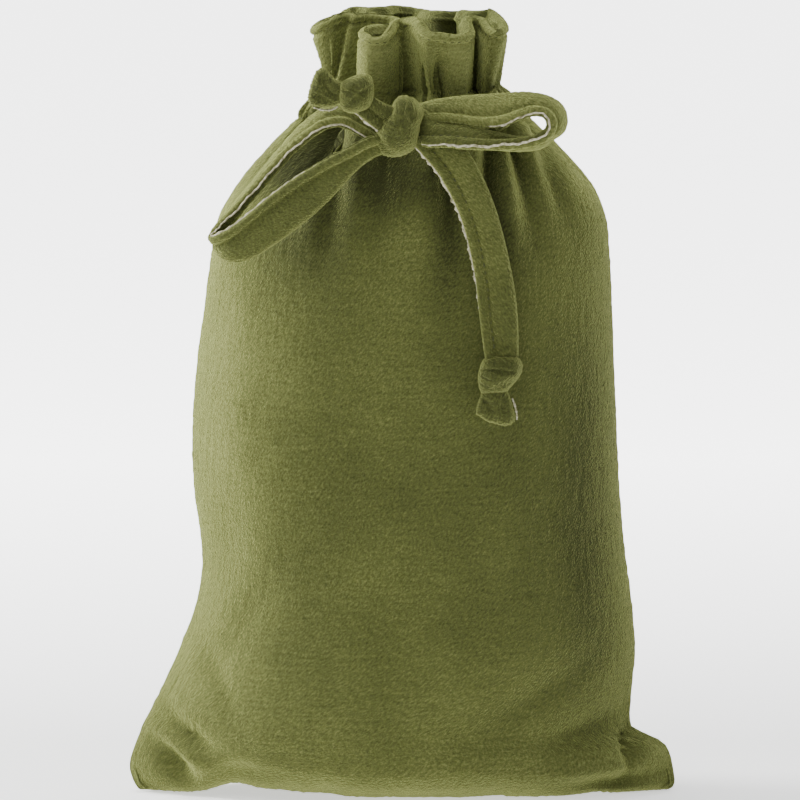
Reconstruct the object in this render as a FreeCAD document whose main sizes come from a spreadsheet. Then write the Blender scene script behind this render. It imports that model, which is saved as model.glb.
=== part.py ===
import FreeCAD, Part
import os

from FreeCAD import Placement, Rotation, Vector

# Plush drawstring gift sack, standing filled on its flat bottom, tied with a bow.
# Frame: origin on the floor under the middle of the sack, +X to the sack's right side
# as its front is looked at, +Y to the back, +Z up. Millimetres.

os.makedirs("parts", exist_ok=True)
doc = FreeCAD.newDocument("GiftSack")
dims = doc.addObject("Spreadsheet::Sheet", "Dims")

# Each level of the sack is an ellipse: height, half width, half depth, shift to the right,
# then half width and half depth of the space inside.
levels = {
    "base": (0, 82, 30, -1, 76, 25),
    "heel": (6, 87, 38.5, -1.5, 83.5, 35),
    "foot": (17, 87, 42.5, -1.5, 84, 39.5),
    "ankle": (32, 86, 44.5, -1.5, 83, 41.5),
    "calf": (52, 84.5, 45.5, 0, 81.5, 42.5),
    "hip": (74, 80.5, 46, 3, 77.5, 43),
    "waist": (98, 78, 46.5, 2.5, 75, 43.5),
    "belly": (128, 78, 46.5, 0.5, 75, 43.5),
    "chest": (160, 76.5, 46.5, 0.5, 73.5, 43.5),
    "bust": (184, 74.5, 46, 1.5, 71.5, 43),
    "arm": (201, 73, 45.5, 2.5, 70, 42.5),
    "shoulder": (213, 71, 44, 3.5, 67, 40.5),
    "slope": (224, 66.5, 41.5, 4.5, 61, 36.5),
    "yoke": (233, 60, 38.5, 4, 51, 31),
    "nape": (241, 52.5, 35, 3.5, 36, 22),
    "gather": (248, 45.5, 31, 3.5, 18, 13),
    "casing": (255, 37, 27.5, 2.5, 9.5, 9.5),
    "neck": (262, 31.5, 25.5, 3.5, 9, 9),
    "frill": (270, 32.5, 26.5, 3, 10, 10),
    "flare": (279, 35.5, 29, 1.5, 14, 13),
    "rim": (288, 35, 29.5, 1.5, 18, 16),
}
levelFields = ("Height", "HalfWidth", "HalfDepth", "Shift", "HoleWidth", "HoleDepth")

sizes = {
    "clothThickness": 3.0,
    "threadRadius": 0.4,
    "threadGap": 0.15,
    "slopeThreadGap": 0.6,
    "seamThreadInset": 1.6,
    "floorLift": 3.0,
    "earLength": 46.0,
    "earDepth": 12.0,
    "earRise": 16.0,
    "leftEarPlace": -56.0,
    "rightEarPlace": 54.5,
    "ribbonWidth": 14.0,
    "ribbonThickness": 5.0,
    "rawEdgeWidth": 1.2,
    "rawEdgeThickness": 1.0,
    "stitchInset": 4.0,
    "ringRadius": 19.0,
    "cordRadius": 3.8,
    "channelGap": 0.3,
    "exitRadius": 3.2,
    "exitHeight": 255.0,
    "exitReach": 34.1,
    "bowPlaceX": -1.5,
    "bowPlaceY": -43.8,
    "bowPlaceZ": 249.0,
    "bowHalfWidth": 9.0,
    "bowHalfDepth": 10.0,
    "bowHalfHeight": 11.5,
    "endKnotHalfWidth": 6.8,
    "endKnotHalfHeight": 7.2,
    "endKnotHalfDepth": 6.0,
    "endWrapRadius": 2.0,
    "rightKnotX": 34.6,
    "rightKnotY": -50.5,
    "rightKnotZ": 161.8,
    "leftKnotX": -18.6,
    "leftKnotY": -51.5,
    "leftKnotZ": 261.6,
    "stubLength": 11.0,
    "stubWidth": 11.0,
    "stubThickness": 6.0,
    "stubFillet": 2.0,
    "stubTopShare": 0.75,
    "stubSlantShare": 0.9,
    "rightStubShift": 1.5,
    "leftStubShift": 0.4,
    "leftStubLift": 0.8,
}


def fillSheet():
    """One row for each driving dimension: its name, its value and an alias of that name."""
    rows = dict(sizes)
    for level, numbers in levels.items():
        for field, number in zip(levelFields, numbers):
            rows[level + field] = number
    for row, (name, number) in enumerate(rows.items(), start=1):
        dims.set(f"A{row}", name)
        dims.set(f"B{row}", str(number))
        dims.setAlias(f"B{row}", name)
    doc.recompute()


def size(name):
    return float(dims.get(name))


def bind(item, **expressions):
    for prop, expression in expressions.items():
        item.setExpression(prop.replace("_", "."), expression)
    return item


def primitive(kind, name, **expressions):
    return bind(doc.addObject(kind, name), **expressions)


def combine(kind, label, base, tool):
    result = doc.addObject(kind, label)
    result.Base = base
    result.Tool = tool
    result.Label = label
    return result


def levelRing(level, hole):
    """The ellipse of one level, of the outside or of the space inside."""
    name = level + ("Hole" if hole else "Outline")
    ring = primitive(
        "Part::Ellipse",
        name,
        MajorRadius=f"Dims.{level}" + ("HoleWidth" if hole else "HalfWidth"),
        MinorRadius=f"Dims.{level}" + ("HoleDepth" if hole else "HalfDepth"),
        Placement_Base_x=f"Dims.{level}Shift",
        Placement_Base_z=f"Dims.{level}Height",
    )
    return ring


def loft(name, rings):
    solid = doc.addObject("Part::Loft", name)
    solid.Sections = rings
    solid.Solid = True
    solid.Ruled = False
    return solid


def halves(shell, frontLabel, backLabel):
    """Cuts a shell along the side seams, in the plane Y = 0."""
    span = 2 * size("rimHeight")
    block = doc.addObject("Part::Box", frontLabel + "Half")
    block.Length = span
    block.Width = span
    block.Height = span
    block.Placement = Placement(Vector(-span / 2, -span, -span / 4), Rotation())
    front = combine("Part::Common", frontLabel, shell, block)
    back = combine("Part::Cut", backLabel, shell, block)
    return front, back


def makeCloth():
    """Front and back cloth below the frill, with the channel that the ribbon runs in."""
    names = list(levels)
    low = names[: names.index("neck") + 1]
    high = names[names.index("neck"):]

    outside = loft("BodyOutside", [levelRing(level, False) for level in low])
    ears = []
    for side in ("left", "right"):
        ear = primitive(
            "Part::Ellipsoid",
            side + "Ear",
            Radius1="Dims.earRise",
            Radius2="Dims.earLength",
            Radius3="Dims.earDepth",
            Placement_Base_x=f"Dims.{side}EarPlace",
            Placement_Base_z="Dims.earRise",
        )
        ears.append(ear)
    filled = doc.addObject("Part::MultiFuse", "BodyFilled")
    filled.Shapes = [outside] + ears

    holes = {level: levelRing(level, True) for level in names}
    bind(holes["base"], Placement_Base_z="Dims.floorLift")
    inside = loft("BodyInside", [holes[level] for level in low])
    hollow = combine("Part::Cut", "BodyHollow", filled, inside)

    channel = primitive(
        "Part::Torus",
        "ChannelRing",
        Radius1="Dims.ringRadius",
        Radius2="Dims.cordRadius + Dims.channelGap",
        Placement_Base_x="Dims.casingShift",
        Placement_Base_z="Dims.casingHeight",
    )
    mouth = exitBar("ChannelMouth", "Dims.exitRadius + Dims.channelGap")
    tunnels = doc.addObject("Part::MultiFuse", "ChannelTunnels")
    tunnels.Shapes = [channel, mouth]
    body = combine("Part::Cut", "BodyShell", hollow, tunnels)
    front, back = halves(body, "front_panel", "back_panel")

    frillOutside = loft("FrillOutside", [levelRing(level, False) for level in high])
    frillInside = loft("FrillInside", [holes[level] for level in high])
    frill = combine("Part::Cut", "FrillShell", frillOutside, frillInside)
    frontFrill, backFrill = halves(frill, "front_ruffle", "back_ruffle")
    return [front, back, frontFrill, backFrill]


def exitBar(name, radius):
    """A straight round bar from the ring forward to the knot."""
    bar = primitive(
        "Part::Cylinder",
        name,
        Radius=radius,
        Height="Dims.exitReach - Dims.ringRadius",
        Placement_Base_z="Dims.exitHeight",
        Placement_Base_y="-Dims.ringRadius",
    )
    bar.Placement.Rotation = Rotation(Vector(1, 0, 0), 90)
    return bar


def makeNeckRibbon():
    """The ribbon in the channel: a ring round the neck with its way out to the bow."""
    ring = primitive(
        "Part::Torus",
        "RibbonRing",
        Radius1="Dims.ringRadius",
        Radius2="Dims.cordRadius",
        Placement_Base_x="Dims.casingShift",
        Placement_Base_z="Dims.casingHeight",
    )
    bar = exitBar("RibbonExit", "Dims.exitRadius")
    return combine("Part::Fuse", "neck_ribbon", ring, bar)


def makeBowKnot():
    knot = primitive(
        "Part::Ellipsoid",
        "bow_knot",
        Radius1="Dims.bowHalfHeight",
        Radius2="Dims.bowHalfWidth",
        Radius3="Dims.bowHalfDepth",
        Placement_Base_x="Dims.bowPlaceX",
        Placement_Base_y="Dims.bowPlaceY",
        Placement_Base_z="Dims.bowPlaceZ",
    )
    knot.Label = "bow_knot"
    return knot


def ringThread(label, level, gap):
    """A row of stitches round the outside of the cloth at one level."""
    reach = f"Dims.{level}HalfWidth + Dims.threadRadius + Dims.{gap}"
    depth = f"Dims.{level}HalfDepth + Dims.threadRadius + Dims.{gap}"
    path = primitive(
        "Part::Ellipse",
        label + "Path",
        MajorRadius=reach,
        MinorRadius=depth,
        Placement_Base_x=f"Dims.{level}Shift",
        Placement_Base_z=f"Dims.{level}Height",
    )
    section = primitive(
        "Part::Circle",
        label + "Section",
        Radius="Dims.threadRadius",
        Placement_Base_x=f"Dims.{level}Shift + {reach}",
        Placement_Base_z=f"Dims.{level}Height",
    )
    section.Placement.Rotation = Rotation(Vector(1, 0, 0), 90)
    thread = doc.addObject("Part::Sweep", label)
    thread.Sections = [section]
    thread.Spine = (path, ["Edge1"])
    thread.Solid = True
    thread.Label = label
    return thread


def makeSeamThreads():
    """Side seams inside the two edges of the cloth and the seam along the bottom."""
    names = list(levels)
    seamLevels = names[names.index("foot"): names.index("gather")]
    inset = size("seamThreadInset")
    threads = []
    for side, label in ((-1, "left_side_seam_thread"), (1, "right_side_seam_thread")):
        nearEdge = []
        farEdge = []
        for level in seamLevels:
            across = size(level + "Shift") + side * (size(level + "HoleWidth") - inset)
            nearEdge.append(Vector(across, -size("threadRadius"), size(level + "Height")))
            farEdge.append(Vector(across, size("threadRadius"), size(level + "Height")))
        shape = bandShape(nearEdge, farEdge, 2 * size("threadRadius"), len(seamLevels))
        threads.append(feature(label, shape))
    bottom = primitive(
        "Part::Cylinder",
        "bottom_seam_thread",
        Radius="Dims.threadRadius",
        Height="2 * Dims.baseHoleWidth - 8 * Dims.threadRadius",
        Placement_Base_x="Dims.baseShift - Dims.baseHoleWidth + 4 * Dims.threadRadius",
        Placement_Base_z="Dims.floorLift + Dims.threadRadius + Dims.threadGap",
    )
    bottom.Placement.Rotation = Rotation(Vector(0, 1, 0), 90)
    bottom.Label = "bottom_seam_thread"
    threads.append(bottom)
    return threads


def smoothLine(points):
    curve = Part.BSplineCurve()
    curve.interpolate(points)
    return curve


def along(curve, share):
    first, last = curve.FirstParameter, curve.LastParameter
    return curve.value(first + (last - first) * share)


def bandShape(nearEdge, farEdge, thickness, stations):
    """A solid band between two edge lines: a rectangle at each station, joined in order."""
    near = smoothLine(nearEdge)
    far = smoothLine(farEdge)
    middles = []
    for index in range(stations):
        share = index / (stations - 1)
        middles.append((along(near, share), along(far, share)))
    rectangles = []
    for index, (one, two) in enumerate(middles):
        before = middles[max(index - 1, 0)]
        after = middles[min(index + 1, stations - 1)]
        travel = (after[0] + after[1]) - (before[0] + before[1])
        normal = travel.cross(two - one)
        normal.normalize()
        half = normal * (thickness / 2)
        corners = [one - half, two - half, two + half, one + half, one - half]
        rectangles.append(Part.makePolygon(corners))
    return Part.makeLoft(rectangles, True, True)


def feature(label, shape):
    item = doc.addObject("Part::Feature", label)
    item.Shape = shape
    item.Placement = Placement()
    item.Label = label
    return item


def ribbonPieces(name, rawEdge, foldEdge, stations, stitchSide=0):
    """One stretch of folded ribbon, its cut edge and, on one face, its row of stitches."""
    raw = [Vector(*point) for point in rawEdge]
    fold = [Vector(*point) for point in foldEdge]
    ribbon = feature(name + "_ribbon", bandShape(raw, fold, size("ribbonThickness"), stations))

    gap = size("threadGap")
    edgeNear = []
    edgeFar = []
    stitchNear = []
    stitchFar = []
    for index, (one, two) in enumerate(zip(raw, fold)):
        wide = (two - one).normalize()
        travel = raw[min(index + 1, len(raw) - 1)] - raw[max(index - 1, 0)]
        outward = travel.cross(wide).normalize() * stitchSide
        edgeNear.append(one - wide * gap)
        edgeFar.append(one - wide * (gap + size("rawEdgeWidth")))
        lift = outward * (size("ribbonThickness") / 2 + size("threadRadius") + 6 * gap)
        inset = min(size("stitchInset"), (two - one).Length / 2)
        stitchNear.append(one + wide * inset + lift)
        stitchFar.append(one + wide * (inset + 2 * size("threadRadius")) + lift)
    edge = bandShape(edgeNear, edgeFar, size("rawEdgeThickness"), stations)
    parts = [ribbon, feature(name + "_raw_edge", edge)]
    if stitchSide:
        stitch = bandShape(stitchNear, stitchFar, 2 * size("threadRadius"), stations)
        parts.append(feature(name + "_thread", stitch))
    return parts


def makeLeftLoop():
    """Loop drooping to the left: the upper strand from the bow, the tip, the front strand."""
    rawEdge = [
        (-13.8, -48, 246),
        (-21, -47.5, 250.5),
        (-31, -46.5, 249.5),
        (-43, -46, 240.5),
        (-57, -45.5, 226),
        (-67, -46, 215),
        (-69, -50, 211.5),
        (-60, -53.2, 216.5),
        (-47.5, -54.6, 227),
        (-31, -55, 238),
        (-16.5, -54, 245.6),
    ]
    foldEdge = [
        (-13.8, -40, 250.5),
        (-20, -38, 255),
        (-29, -36, 255),
        (-40, -34.5, 245.5),
        (-53, -33.5, 230.5),
        (-64, -37, 214),
        (-65, -46, 203.5),
        (-56, -49.5, 202.5),
        (-43, -50.5, 211.5),
        (-28, -51.5, 223.5),
        (-15.5, -52, 237),
    ]
    return ribbonPieces("left_loop", rawEdge, foldEdge, 28, -1)


def makeRightLoop():
    """Loop lying to the right: the lower strand from the bow, the tip, the upper strand."""
    rawEdge = [
        (10.5, -52.4, 244.8),
        (16, -53.6, 245),
        (23, -54.2, 244.5),
        (31.6, -54.2, 244.6),
        (40, -54, 245.4),
        (47, -53.6, 246.6),
        (51.6, -53.2, 249.4),
        (52.6, -52.8, 253),
        (50.4, -52.4, 255.8),
        (46, -51.8, 256.2),
        (41, -51, 254.8),
        (35.5, -49.8, 253.8),
        (26, -48.6, 254.2),
        (12, -47, 255),
    ]
    foldEdge = [
        (10.5, -41, 249),
        (17, -41.8, 249),
        (24.4, -42.2, 248),
        (33, -41.8, 246),
        (42.4, -41.2, 244),
        (50, -40.6, 244.4),
        (55.6, -40.4, 247.6),
        (58, -40.2, 252.4),
        (56.2, -40, 257.8),
        (50, -40, 261),
        (42.4, -39.8, 262),
        (35, -39.6, 261.8),
        (26, -39, 261.8),
        (12, -37.8, 261),
    ]
    return ribbonPieces("right_loop", rawEdge, foldEdge, 34, -1)


def makeRightTail():
    """Tail hanging down the front to its end knot."""
    rawEdge = [
        (13.4, -50.5, 231.5),
        (20.7, -50.5, 217),
        (25.4, -50.5, 199),
        (27, -50.5, 185),
        (28.6, -50.5, 169.5),
    ]
    foldEdge = [
        (27, -49.5, 232),
        (34.2, -49.5, 217.5),
        (38.6, -49.5, 199),
        (40.7, -49.5, 185),
        (41.3, -49.5, 169.5),
    ]
    return ribbonPieces("right_tail", rawEdge, foldEdge, 12, 1)


def makeLeftTail():
    """Short tail between the bow and its end knot, close above the left loop."""
    rawEdge = [(-13.8, -51.5, 253.5), (-14.8, -51.5, 254.3), (-15.8, -51.5, 255.1)]
    foldEdge = [(-9.4, -51.5, 259.5), (-10.4, -51.5, 260.3), (-11.4, -51.5, 261.1)]
    return ribbonPieces("left_tail", rawEdge, foldEdge, 4)


def endKnot(label, prefix):
    """Overhand knot: a round lump with one turn of ribbon standing round it."""
    places = {
        "Placement_Base_x": f"Dims.{prefix}X",
        "Placement_Base_y": f"Dims.{prefix}Y",
        "Placement_Base_z": f"Dims.{prefix}Z",
    }
    lump = primitive(
        "Part::Ellipsoid",
        label + "Lump",
        Radius1="Dims.endKnotHalfHeight",
        Radius2="Dims.endKnotHalfWidth",
        Radius3="Dims.endKnotHalfDepth",
        **places,
    )
    turn = primitive(
        "Part::Torus",
        label + "Turn",
        Radius1="Dims.endKnotHalfDepth - Dims.endWrapRadius",
        Radius2="Dims.endWrapRadius",
        **places,
    )
    turn.Placement.Rotation = Rotation(Vector(0, 1, 0), 35)
    return combine("Part::Fuse", label, lump, turn)


def stub(label, place, turn):
    """Short flat end of the ribbon past its knot: a rounded pad, its top on the knot."""
    body = doc.addObject("PartDesign::Body", label)
    body.Label = label
    sketch = body.newObject("Sketcher::SketchObject", label + "Outline")
    planes = {item.Role: item for item in body.Origin.OriginFeatures}
    sketch.AttachmentSupport = (planes["XZ_Plane"], [""])
    sketch.MapMode = "FlatFace"
    half = size("stubWidth") / 2
    low = -size("stubLength")
    top = half * size("stubTopShare")
    corners = [(-top, 0), (top, 0), (half, low), (-half, low * size("stubSlantShare"))]
    for index, corner in enumerate(corners):
        following = corners[(index + 1) % len(corners)]
        sketch.addGeometry(Part.LineSegment(Vector(*corner, 0), Vector(*following, 0)), False)
    pad = body.newObject("PartDesign::Pad", label + "Pad")
    pad.Profile = sketch
    pad.Midplane = True
    bind(pad, Length="Dims.stubThickness")
    doc.recompute()
    upright = []
    for index, edge in enumerate(pad.Shape.Edges, start=1):
        ends = [vertex.Point for vertex in edge.Vertexes]
        if abs(ends[0].y - ends[1].y) < 0.01 and abs(ends[0].x - ends[1].x) < half:
            upright.append(f"Edge{index}")
    rounding = body.newObject("PartDesign::Fillet", label + "Rounding")
    rounding.Base = (pad, upright)
    bind(rounding, Radius="Dims.stubFillet")
    body.Placement = Placement(place, Rotation(Vector(0, 1, 0), turn))
    return body


def makeEnds():
    """The two end knots and the short ends below or beside them."""
    rightKnot = endKnot("right_end_knot", "rightKnot")
    leftKnot = endKnot("left_end_knot", "leftKnot")
    clear = size("endKnotHalfHeight") + size("threadGap")
    rightAcross = size("rightKnotX") - size("rightStubShift")
    rightTop = Vector(rightAcross, size("rightKnotY"), size("rightKnotZ") - clear)
    leftAcross = size("leftKnotX") - clear + size("leftStubShift")
    leftTop = Vector(leftAcross, size("leftKnotY"), size("leftKnotZ") + size("leftStubLift"))
    rightEnd = stub("right_tail_end", rightTop, 0)
    leftEnd = stub("left_tail_end", leftTop, 90)
    return [rightKnot, leftKnot, rightEnd, leftEnd]


def checkAndExport(pieces):
    doc.recompute()
    for item in doc.Objects:
        if "Invalid" in item.State or "Error" in item.State:
            raise RuntimeError(f"{item.Label} did not compute: {item.State}")
    for piece in pieces:
        shape = piece.Shape
        if shape.isNull() or not shape.isValid():
            raise RuntimeError(f"{piece.Label} has no valid shape")
        if not shape.Solids:
            raise RuntimeError(f"{piece.Label} has no solid")
        shape.exportStep(f"parts/{piece.Label}.step")
        box = shape.BoundBox
        print(
            f"{piece.Label:24s} solids {len(shape.Solids)} volume {shape.Volume:10.1f}"
            f"  x {box.XMin:7.1f} {box.XMax:7.1f}  y {box.YMin:7.1f} {box.YMax:7.1f}"
            f"  z {box.ZMin:7.1f} {box.ZMax:7.1f}"
        )


fillSheet()
pieces = makeCloth()
pieces.append(makeNeckRibbon())
pieces.append(makeBowKnot())
pieces.extend(makeSeamThreads())
pieces.append(ringThread("casing_thread", "gather", "slopeThreadGap"))
pieces.append(ringThread("neck_thread", "neck", "threadGap"))
pieces.append(ringThread("rim_hem_thread", "flare", "threadGap"))
pieces.extend(makeLeftLoop())
pieces.extend(makeRightLoop())
pieces.extend(makeRightTail())
pieces.extend(makeLeftTail())
pieces.extend(makeEnds())
checkAndExport(pieces)
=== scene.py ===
import bmesh
import bpy
import numpy as np
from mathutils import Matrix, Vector


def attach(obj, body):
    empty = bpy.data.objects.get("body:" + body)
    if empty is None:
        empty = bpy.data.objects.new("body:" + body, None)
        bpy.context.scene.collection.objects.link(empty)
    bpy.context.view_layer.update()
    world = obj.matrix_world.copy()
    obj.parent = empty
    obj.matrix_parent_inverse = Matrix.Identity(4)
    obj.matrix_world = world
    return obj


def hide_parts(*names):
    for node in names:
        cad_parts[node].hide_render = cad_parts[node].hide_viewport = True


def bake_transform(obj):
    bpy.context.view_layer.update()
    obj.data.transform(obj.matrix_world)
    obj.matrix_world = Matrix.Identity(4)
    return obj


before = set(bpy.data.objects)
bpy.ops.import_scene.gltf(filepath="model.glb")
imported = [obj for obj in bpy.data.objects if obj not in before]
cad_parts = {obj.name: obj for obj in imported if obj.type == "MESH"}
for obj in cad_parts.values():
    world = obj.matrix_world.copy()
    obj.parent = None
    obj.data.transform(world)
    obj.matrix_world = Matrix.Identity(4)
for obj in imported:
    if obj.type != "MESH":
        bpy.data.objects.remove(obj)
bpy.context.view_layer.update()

# Plush drawstring gift sack. Sizes below are in millimetres and are scaled once, by unit,
# when a mesh is made. -Y is the front, +X the right, Z = 0 the floor.

unit = 0.001
chance = np.random.default_rng(7)
print("stage: frame loaded,", len(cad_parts), "nodes")


# smooth cubic through points: in each span the slope at an end is half the chord of the
# two points beside it. where counts points, so 2.5 is midway between points 2 and 3
def splineAt(points, where, closed=False):
    points = np.asarray(points, float)
    total = len(points)
    where = np.asarray(where, float)
    if closed:
        span = np.floor(where).astype(int)
    else:
        span = np.clip(np.floor(where).astype(int), 0, total - 2)
    t = (where - span)[:, None]

    def pick(step):
        if closed:
            return points[(span + step) % total]
        return points[np.clip(span + step, 0, total - 1)]

    a, b, c, d = pick(-1), pick(0), pick(1), pick(2)
    cubic = 2 * b + (c - a) * t + (2 * a - 5 * b + 4 * c - d) * t**2
    return 0.5 * (cubic + (3 * b - 3 * c + d - a) * t**3)


# distance run along a line of points, up to each of them
def runLength(points):
    step = np.linalg.norm(np.diff(points, axis=0), axis=1)
    return np.concatenate([[0], np.cumsum(step)])


# evenly spaced points on that spline, count of them
def splineEven(points, count, closed=False):
    total = len(points) if closed else len(points) - 1
    dense = splineAt(points, np.linspace(0, total, 40 * total + 1), closed)
    length = runLength(dense[:, :3])
    wanted = np.linspace(0, length[-1], count, endpoint=not closed)
    where = np.interp(wanted, length, np.linspace(0, total, len(dense)))
    return splineAt(points, where, closed)


# 0 below low, 1 above high, smooth between
def smoothStep(x, low, high):
    t = np.clip((x - low) / (high - low), 0, 1)
    return t * t * (3 - 2 * t)


# bell of the given half width, 1 at its middle
def bell(x, middle, width):
    return np.exp(-(((x - middle) / width) ** 2))


# vectors divided by their own length
def unitVectors(values):
    return values / np.maximum(np.linalg.norm(values, axis=-1, keepdims=True), 1e-9)


# blur of a closed line of values along axis 0, spread as a share of the whole round
def blurRound(values, spread):
    count = len(values)
    frequency = np.fft.fftfreq(count, 1.0 / count)
    weight = np.exp(-2 * (np.pi * frequency * spread) ** 2)
    shape = (count,) + (1,) * (values.ndim - 1)
    return np.real(np.fft.ifft(np.fft.fft(values, axis=0) * weight.reshape(shape), axis=0))


# unit normals of a grid of points: the cross product of its two directions
def gridNormals(points, closedFirst=False):
    if closedFirst:
        along = np.roll(points, -1, axis=0) - np.roll(points, 1, axis=0)
    else:
        along = np.gradient(points, axis=0)
    across = np.gradient(points, axis=1)
    return unitVectors(np.cross(along, across))


# quads of a grid of first x second vertices, numbered row by row from start
def gridQuads(first, second, closedFirst=False, closedSecond=False, start=0):
    rows = np.arange(first if closedFirst else first - 1)
    columns = np.arange(second if closedSecond else second - 1)
    i, j = np.meshgrid(rows, columns, indexing="ij")
    nextI = (i + 1) % first
    nextJ = (j + 1) % second
    quads = np.stack([i * second + j, nextI * second + j, nextI * second + nextJ, i * second + nextJ], -1)
    return quads.reshape(-1, 4) + start


# faces of a closed tube of rows x columns vertices with both ends capped
def tubeFaces(rows, columns, start=0):
    faces = gridQuads(rows, columns, closedSecond=True, start=start).tolist()
    last = start + (rows - 1) * columns
    return faces + [list(range(start, start + columns)), list(range(last, last + columns))]


# a smooth mesh object from millimetre vertices, with an optional cloth UV for each vertex
def makeObject(name, vertices, faces, uv=None):
    mesh = bpy.data.meshes.new(name)
    mesh.from_pydata((np.asarray(vertices) * unit).tolist(), [], faces)
    mesh.update()
    solid = bmesh.new()
    solid.from_mesh(mesh)
    if uv is not None:
        layer = solid.loops.layers.uv.new("cloth")
        for face in solid.faces:
            for loop in face.loops:
                loop[layer].uv = uv[loop.vert.index]
    bmesh.ops.recalc_face_normals(solid, faces=solid.faces)
    solid.to_mesh(mesh)
    solid.free()
    mesh.shade_smooth()
    item = bpy.data.objects.new(name, mesh)
    bpy.context.scene.collection.objects.link(item)
    return item


# one number for each vertex, which the plush material adds to its tone: mostly painted shade and
# highlight, with some tone of the pile
def paint(item, values):
    layer = item.data.attributes.new("tone", "FLOAT", "POINT")
    layer.data.foreach_set("value", np.asarray(values, dtype=np.float32))


# material, slot and body of a piece; a piece given a join is not put on a body but only has its placement
# baked into its mesh, and the join's body and two ends are not used
def dress(item, material, body, nodes=(), join=None):
    item.data.materials.clear()
    item.data.materials.append(material)
    if join:
        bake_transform(item)
    else:
        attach(item, body)
    if nodes:
        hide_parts(*nodes)
    return item


# Levels of the sack from its bottom seam up: height, left and right edge, front and back
# depth, and pinch, which draws the section to a thin edge at the sides.
sackLevels = np.array([
    (1.2, -95, 95, 0, 0, 2.2), (0.7, -96.5, 97, 13, 13, 2.2), (0.7, -98, 98.5, 26, 26, 2.1),
    (3.2, -100, 100.2, 36, 36, 2.0), (9, -101.6, 99.6, 40.5, 40.5, 1.9),
    (14.4, -100.6, 98, 42.4, 42.4, 1.8), (18.4, -99.2, 95.4, 43.2, 43.2, 1.7),
    (21.4, -98, 89.6, 43.8, 43.8, 1.66), (24.6, -96.8, 84.8, 44.2, 44.2, 1.6),
    (30, -94, 83.7, 44.8, 44.8, 1.54), (40, -89, 84.4, 45.4, 45.6, 1.42),
    (55, -82.4, 85.4, 45.9, 46.2, 1.25), (72, -76.8, 84, 46.2, 46.6, 1.12),
    (90, -75, 81.6, 46.5, 47, 1.04), (112, -77.4, 79.6, 46.6, 47.2, 1),
    (136, -78, 78.3, 46.6, 47.2, 1), (160, -76.2, 77.3, 46.5, 47.1, 1),
    (182, -73.2, 76.4, 46.2, 46.6, 1), (200, -70.8, 75.7, 45.3, 45.6, 1),
    (213, -68.3, 74.8, 43.9, 44, 1), (224, -62.3, 70.8, 41.3, 41.5, 1),
    (233, -55.6, 63.8, 38.4, 38.5, 1), (241, -48.4, 56.2, 35, 35, 1),
    (248, -41.8, 48.6, 31.6, 31.6, 1), (255, -35.2, 40.6, 28.6, 28.4, 1),
    (262, -28.5, 35.2, 26.6, 26.4, 1),
])

# The cloth's line round the ruffle: x, y, z on the rim, then x, y where the same thread
# passes the neck. It starts at the left seam and goes round by the front.
frontFolds = [
    (-29, 6, 286.4, -25, 4), (-33.6, 0, 284.6, -27.4, -1), (-35, -5, 283.2, -28, -5),
    (-31.5, -9.5, 285, -27.4, -8.6), (-25.5, -10.8, 287.5, -26.8, -9.8),
    (-20.4, -8, 288.9, -25.4, -9), (-17.6, -9.4, 288.4, -24.6, -13.4), (-12.5, -6, 288.8, -16, -12),
    (-6, -7, 288.2, -9, -12.5), (-3.2, -12, 287, -5, -14), (-7.5, -18.2, 286, -8.4, -17.6),
    (-12, -19.4, 286, -12.8, -18.4), (-15.8, -21.8, 285.2, -16.8, -20.4),
    (-16.8, -25.6, 284, -17.8, -23.6), (-14, -29, 282.6, -14.6, -27),
    (-10, -30.2, 281.8, -10.4, -28.4), (-6, -29, 282.5, -6.4, -27.6),
    (-3.3, -24.6, 284.6, -3.6, -22.8), (-1.8, -18.6, 287, -0.6, -14.6),
    (0.6, -20.8, 288.2, 4.4, -16.4), (2.8, -25.2, 287.9, 7.4, -22), (5, -29, 285.4, 8.6, -26.2),
    (8.5, -31.6, 283.6, 10.4, -28), (13.5, -33, 282.6, 13.8, -24.6), (19, -33, 282.5, 17.4, -28.6),
    (23.6, -31, 283, 21.6, -27.6), (26, -26.6, 284, 24.6, -23.2), (25.4, -20, 286.2, 24.4, -17),
    (25, -14.4, 288.2, 24.6, -13), (27.2, -15.6, 287.6, 27.2, -14), (29.6, -23, 285, 28.4, -19.6),
    (33, -27, 284.2, 30.4, -22), (36.6, -26, 284, 33, -20.4), (38.4, -21, 285.2, 34.4, -15.4),
    (38, -14, 286.8, 34.2, -10), (36, -6.4, 288.6, 33, -5), (33.4, -1.4, 290, 31.2, -1),
    (30.4, 0, 290.2, 28.6, 1), (27, -1.4, 289.6, 26.4, 0.6),
]
backFolds = [
    (24.4, 4, 289.3, 26.4, 5), (28, 9, 287.6, 31, 8), (33, 15, 286, 34, 13),
    (32.5, 22, 285.4, 32.4, 19), (27, 26.6, 286, 27, 23), (22, 22, 287, 22, 18),
    (19.6, 14, 288, 19, 12), (15.6, 10, 288.4, 15, 9.6), (11.8, 13, 288.3, 11.6, 12),
    (10.2, 20, 288, 10, 18), (8.4, 27, 287.6, 8.6, 23.4), (3, 31, 287.8, 3, 26),
    (-4, 30.4, 288.5, -3.6, 25.6), (-8, 25, 288.8, -7.6, 20), (-10, 20.4, 288.8, -9.6, 16),
    (-12.6, 25, 288.5, -12, 20.6), (-17, 29, 288.2, -16, 24), (-22.6, 27, 287.6, -21, 22),
    (-24, 20, 287.4, -22.2, 16), (-22, 14, 287.4, -20.4, 11.6), (-26, 12, 287, -23.6, 9.6),
]

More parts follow.
